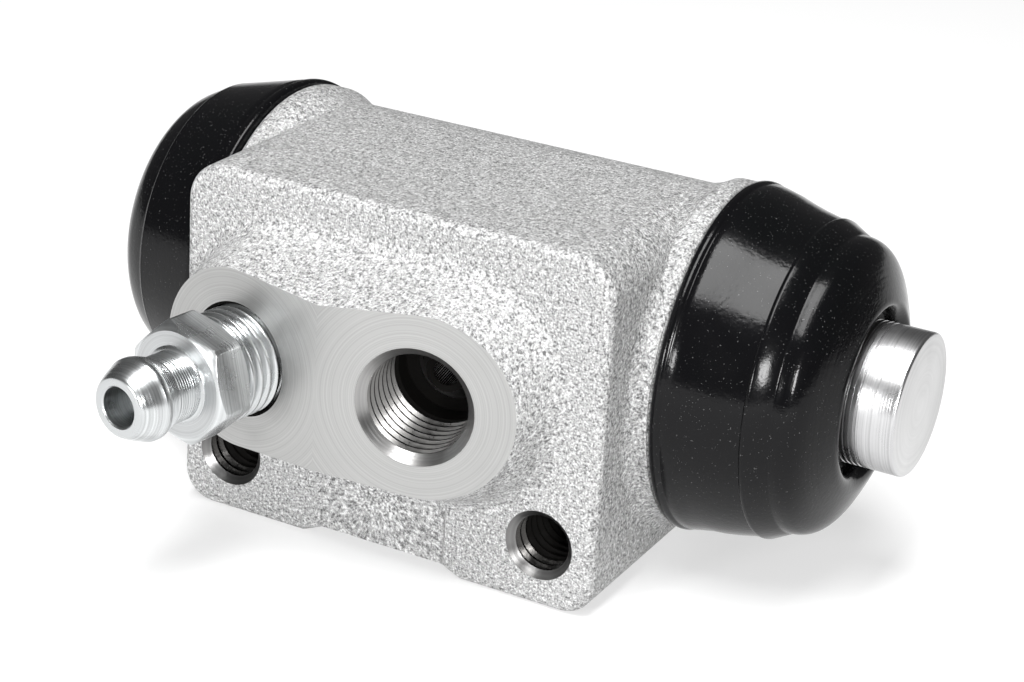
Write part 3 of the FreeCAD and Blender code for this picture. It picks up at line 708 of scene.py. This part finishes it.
piston = {"inner": 15.6, "headEnd": 25.6, "bore": 9.495, "headEdge": 0.5, "stem": 6.5,
          "grooveStart": 33.6, "grooveEnd": 35.8, "grooveDepth": 0.7, "grooveEdge": 0.08,
          "lines": (36.5, 37.0, 37.5, 38.0), "lineDepth": 0.1, "lineWidth": 0.18, "end": 41.65,
          "leftInset": 4.4}
pistonSkinLines = {"color": (0.56, 0.56, 0.565), "roughness": 0.3, "lineScale": 4600, "lineDepth": 0.024,
                   "spread": 0.05, "grey": 0.2, "broadShare": 0.4}
pistonFaceLines = {"color": (0.6, 0.6, 0.6), "roughness": 0.36, "lineScale": 2600, "lineDepth": 0.006,
                   "spread": 0.04, "grey": 0.06, "broadShare": 0.4}


def pistonOutline(values):
    inner = values["inner"]
    headEnd = values["headEnd"]
    bore = values["bore"]
    edge = values["headEdge"]
    stem = values["stem"]
    groove = stem - values["grooveDepth"]
    grooveStart = values["grooveStart"]
    grooveEnd = values["grooveEnd"]
    grooveEdge = values["grooveEdge"]
    outline = [(inner, 0), (inner, bore - edge), (inner + edge, bore), (headEnd - edge, bore),
               (headEnd, bore - edge), (headEnd, stem), (grooveStart, stem), (grooveStart, groove),
               (grooveEnd, groove), (grooveEnd, stem - grooveEdge), (grooveEnd + grooveEdge, stem)]
    floor = stem - values["lineDepth"]
    for place in values["lines"]:
        lineEnd = place + values["lineWidth"]
        outline += [(place, stem), (place + 0.04, floor), (lineEnd - 0.04, floor), (lineEnd, stem)]
    end = values["end"]
    return outline + [(end - 0.26, stem), (end - 0.14, stem - 0.04), (end - 0.04, stem - 0.14),
                      (end, stem - 0.26), (end, 0)]


pistonSkin = turnedMaterial("pistonSkin", boreAxis, "turned", pistonSkinLines)
pistonFace = turnedMaterial("pistonFace", boreAxis, "rings", pistonFaceLines)
for side, word in ((-1, "left"), (1, "right")):
    piece = spunPiece("pistonTurned_" + word, pistonOutline(piston), 128)
    if side < 0:
        placeAt(piece, Matrix.Translation((-piston["leftInset"] * mm, 0, 0)))
    onBore(piece, side)
    smoothByAngle(piece, 32)
    finishPiece(piece, pistonSkin, word + "_piston", ["piston_" + word])
    piece.data.materials.append(pistonFace)
    for polygon in piece.data.polygons:
        if abs(polygon.normal.x) > 0.99:
            polygon.material_index = 1
print("pistons made")


# Boots: bead, band, ridge, dome and a turned-in mouth; each has its own rest shape

boot = {"beadStart": 23.13, "beadEnd": 25.17, "foot": 13.68, "inside": 14.48, "insideEnd": 27.13, "wall": 1.1,
        "lip": 5.88, "bandShares": (0.1, 0.3, 0.5, 0.7, 0.9, 0.97), "sagStart": 25.6, "sagRun": 3.0,
        "sagRadius": 7.4, "sagRise": 1.6,
        "bead": [(23.13, 15.75), (23.2, 15.93), (23.36, 16.06), (23.6, 16.1), (23.85, 16.08), (24.0, 15.98),
                 (24.1, 15.9), (24.2, 15.88), (24.35, 15.92)]}
bootShapes = {
    "right": {"band": (30.9, 14.5), "lipStart": 33.68, "lipEnd": 35.72, "blendStart": 27.2, "sag": 0.3,
              "ridge": [(30.98, 14.56), (31.12, 14.63), (31.35, 14.59), (33.0, 13.7), (33.08, 13.62)],
              "dome": [(33.2, 13.58), (33.9, 13.5), (34.6, 13.24), (35.25, 12.74), (35.85, 11.95),
                       (36.45, 10.8), (37.05, 9.5), (37.42, 8.5), (37.3, 7.95), (36.85, 7.55), (36.3, 7.3)]},
    "left": {"band": (31.0, 14.25), "lipStart": 29.28, "lipEnd": 31.32, "blendStart": 25.6, "sag": 0.0,
             "ridge": [(31.08, 14.24), (31.16, 14.18), (31.22, 14.1)],
             "dome": [(31.3, 14.02), (32.4, 13.5), (33.5, 12.8), (34.45, 11.7), (34.95, 10.5), (35.1, 9.4),
                      (35.0, 8.6), (34.7, 8.0), (34.2, 7.6), (33.4, 7.3), (32.4, 7.15)]}}


def bootOutline(values, shape):
    beadEdge = values["bead"][-1]
    band = shape["band"]
    wall = values["wall"]
    foot = (values["beadStart"], values["foot"])
    outline = [foot] + values["bead"]
    for share in values["bandShares"]:
        outline.append((beadEdge[0] + (band[0] - beadEdge[0]) * share,
                        beadEdge[1] + (band[1] - beadEdge[1]) * share))
    outline += [band] + shape["ridge"] + smoothCurve(shape["dome"], 5)
    mouthRadius = shape["dome"][-1][1]
    lipStart = shape["lipStart"]
    lipEnd = shape["lipEnd"]
    outline += [(lipEnd, mouthRadius - 0.1), (lipEnd, values["lip"]), (lipStart, values["lip"]),
                (lipStart, mouthRadius + 0.25)]
    inner = [(x - wall * 0.9, radius - wall * 0.45) for x, radius in shape["dome"][6:0:-1]]
    outline += smoothCurve([(lipStart + 0.4, mouthRadius + 0.6)] + inner, 4)
    return outline + [(band[0], band[1] - wall), (values["insideEnd"], values["inside"]),
                      (values["beadEnd"], values["inside"]), (values["beadEnd"], values["foot"]), foot]


def letSag(piece, values, amount):
    # the soft dome hangs a little low, while the bead and the lip stay in place
    for vertex in piece.data.vertices:
        radius = sqrt(vertex.co.y ** 2 + vertex.co.z ** 2) / mm
        alongShare = easeStep((vertex.co.x / mm - values["sagStart"]) / values["sagRun"])
        outShare = easeStep((radius - values["sagRadius"]) / values["sagRise"])
        vertex.co.z -= amount * alongShare * outShare * mm


bootFinish = bootMaterial(bootRubber)
for side, word in ((-1, "left"), (1, "right")):
    shape = bootShapes[word]
    piece = spunPiece("bootMoulded_" + word, bootOutline(boot, shape), 160)
    letSag(piece, boot, shape["sag"])
    onBore(piece, side)
    smoothByAngle(piece, 40)
    setFinish(piece, bootFinish)
    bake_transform(piece)
    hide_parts("boot_" + word)
print("boots made")


# Cups and seats are hidden: they keep their solids and get their finish

sealFinish = plainMaterial("sealRubber", (0.02, 0.02, 0.02), 0.0, 0.45, 900, 0.02)
springFinish = plainMaterial("springSteel", (0.5, 0.5, 0.5), 1.0, 0.3, 1500, 0.01)
seatFinish = turnedMaterial("pressedSeat", boreAxis, "rings", {
    "color": (0.66, 0.66, 0.64), "roughness": 0.32, "lineScale": 2000, "lineDepth": 0.006, "spread": 0.04,
    "grey": 0.12, "broadShare": 0.4})
hiddenFinish = {"cup_seal_left": sealFinish, "cup_seal_right": sealFinish,
                "spring_seat_left": seatFinish, "spring_seat_right": seatFinish}
for node, material in hiddenFinish.items():
    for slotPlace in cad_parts[node].material_slots:
        slotPlace.material = material


# Return spring: a half for each side of its middle

def springHalf(side, word):
    piece = copiedNode("return_spring", "springHalf_" + word)
    low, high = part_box("return_spring")
    middle = Vector(((low[0] + high[0]) / 2, boreMiddle.y, boreMiddle.z))
    bpy.ops.object.mode_set(mode="EDIT")
    bpy.ops.mesh.select_all(action="SELECT")
    bpy.ops.mesh.bisect(plane_co=middle, plane_no=(side, 0, 0), use_fill=True, clear_inner=True)
    bpy.ops.object.mode_set(mode="OBJECT")
    smoothByAngle(piece, 40)
    setFinish(piece, springFinish)
    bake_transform(piece)
    return piece


springHalves = [springHalf(-1, "left"), springHalf(1, "right")]
for piece in springHalves:
    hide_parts("return_spring")
print("hidden pieces finished")


# Floor, lamps and camera

studio = {"floorSize": 6, "floorColor": 0.5, "floorGlow": 0.52, "world": 0.1,
          "top": {"place": (0.035, -0.13, 0.50), "size": (0.22, 0.42), "power": 3.6, "level": True},
          "front": {"place": (-0.13, -0.46, 0.13), "size": (0.09, 0.09), "power": 1.05},
          "right": {"place": (0.29, -0.385, 0.17), "size": (0.11, 0.13), "power": 1.95}}


def makeFloor(values):
    deselectAll()
    bpy.ops.mesh.primitive_plane_add(size=values["floorSize"], location=(0, 0, cadBox[0][2]))
    floor = bpy.context.object
    floor.name = "floor"
    bpy.ops.object.transform_apply(location=True, rotation=True, scale=True)
    material = bpy.data.materials.new("paleFloor")
    material.use_nodes = True
    tree = material.node_tree
    tree.nodes.remove(tree.nodes["Principled BSDF"])
    grey = values["floorColor"]
    diffuse = addNode(tree, "ShaderNodeBsdfDiffuse", Color=(grey, grey, grey, 1))
    glow = addNode(tree, "ShaderNodeEmission", Color=(1, 1, 1, 1))
    path = tree.nodes.new("ShaderNodeLightPath")
    seen = mathNode(tree, "MAXIMUM", path.outputs["Is Camera Ray"], path.outputs["Is Glossy Ray"])
    seen = mathNode(tree, "MAXIMUM", seen, path.outputs["Is Transmission Ray"])
    tree.links.new(mathNode(tree, "MULTIPLY", seen, values["floorGlow"]), glow.inputs["Strength"])
    both = tree.nodes.new("ShaderNodeAddShader")
    tree.links.new(diffuse.outputs[0], both.inputs[0])
    tree.links.new(glow.outputs[0], both.inputs[1])
    tree.links.new(both.outputs[0], tree.nodes["Material Output"].inputs["Surface"])
    floor.data.materials.append(material)


def makeLamp(name, values):
    place = Vector(values["place"])
    bpy.ops.object.light_add(type="AREA", location=place)
    lamp = bpy.context.object
    lamp.name = name
    lamp.data.shape = "RECTANGLE"
    lamp.data.size, lamp.data.size_y = values["size"]
    lamp.data.energy = values["power"]
    aim = Vector((0, 0, -1)) if values.get("level") else boreMiddle - place
    lamp.rotation_euler = aim.to_track_quat("-Z", "Y").to_euler()


makeFloor(studio)
makeLamp("topLamp", studio["top"])
makeLamp("frontLamp", studio["front"])
makeLamp("rightLamp", studio["right"])
world = bpy.data.worlds.new("studioWorld")
bpy.context.scene.world = world
world.use_nodes = True
world.node_tree.nodes["Background"].inputs["Color"].default_value = (1, 1, 1, 1)
world.node_tree.nodes["Background"].inputs["Strength"].default_value = studio["world"]

# fromBore is in mm from the bore's middle; the turns are the camera's tilt, roll and pan in degrees
view = {"focal": 90.15, "sensor": 36.0, "fromBore": (102.903, -198.042, 89.429),
        "turns": (67.14364, -3.44729, 28.5821), "near": 0.01}
bpy.ops.object.camera_add()
camera = bpy.context.object
camera.data.lens = view["focal"]
camera.data.sensor_width = view["sensor"]
camera.data.sensor_fit = "HORIZONTAL"
camera.data.clip_start = view["near"]
camera.location = boreMiddle + Vector(view["fromBore"]) * mm
camera.rotation_euler = Euler([radians(turn) for turn in view["turns"]], "XYZ")
bpy.context.scene.camera = camera
bpy.context.scene.view_settings.view_transform = "Standard"
print("floor, lamps and camera made")
